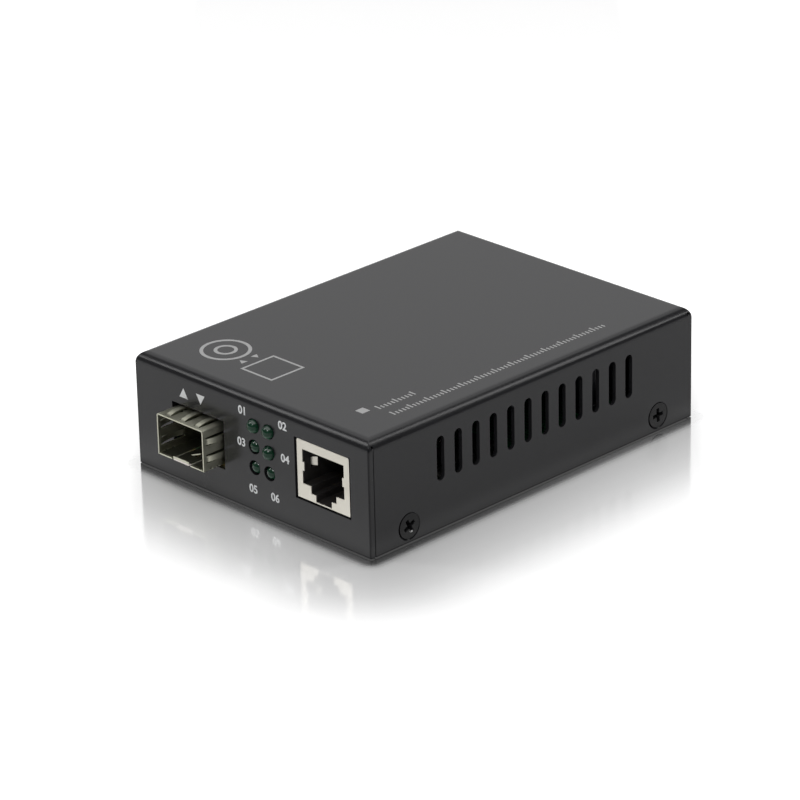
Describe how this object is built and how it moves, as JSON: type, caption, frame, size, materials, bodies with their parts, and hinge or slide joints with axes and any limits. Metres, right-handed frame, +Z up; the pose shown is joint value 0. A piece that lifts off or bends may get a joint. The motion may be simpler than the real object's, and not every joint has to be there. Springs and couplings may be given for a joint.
{
  "type": "fibre media converter",
  "caption": "Small folded-steel network converter box with a plug-in fibre module cage, shielded network socket, indicator lamps, side vents and rear power inlet.",
  "frame": {"origin": "on the table plane under the middle of the box, without the module cage that stands out in front", "axes": "+Z up; -Y out of the front face with the sockets; +X to the right seen from the front"},
  "size_m": [0.071, 0.1032, 0.026],
  "materials": {
    "housing_coat": "fine-textured black powder coat",
    "black_screw": "blackened steel",
    "brass_part": "turned brass",
    "board_mask": "green solder mask",
    "bright_steel": "tinned or nickel-plated steel",
    "cage_metal": "dull nickel-silver sheet",
    "nickel_shield": "nickel-plated sheet",
    "black_moulding": "moulded black plastic",
    "gold_contact": "gold-plated contacts",
    "chip_moulding": "moulded chip package",
    "can_aluminium": "sleeved aluminium can",
    "ferrite": "sintered ferrite",
    "winding_tape": "yellow winding tape",
    "green_lens": "tinted clear resin"
  },
  "bodies": {
    "root": {"base_plate": "housing_coat", "board_screws": "bright_steel", "board_standoffs": "brass_part", "bridge_rectifiers": "chip_moulding", "capacitors": "can_aluminium", "chip_legs": "bright_steel", "circuit_board": "board_mask", "cover": "housing_coat", "crystal": "bright_steel", "indicator_lamp_1": "green_lens", "indicator_lamp_2": "green_lens", "indicator_lamp_3": "green_lens", "indicator_lamp_4": "green_lens", "indicator_lamp_5": "green_lens", "indicator_lamp_6": "green_lens", "inductor": "ferrite", "inlet_housing": "black_moulding", "inlet_pin": "bright_steel", "lamp_holder": "black_moulding", "lamp_leads": "bright_steel", "main_chip": "chip_moulding", "network_transformer": "chip_moulding", "power_chip": "chip_moulding", "rj45_contacts": "gold_contact", "rj45_housing": "black_moulding", "rj45_shield": "nickel_shield", "sfp_cage": "cage_metal", "sfp_cage_floor": "cage_metal", "sfp_connector": "black_moulding", "sfp_contacts": "gold_contact", "side_screws": "black_screw", "transformer_base": "chip_moulding", "transformer_core": "ferrite", "transformer_winding": "winding_tape"}
  },
  "joints": []
}
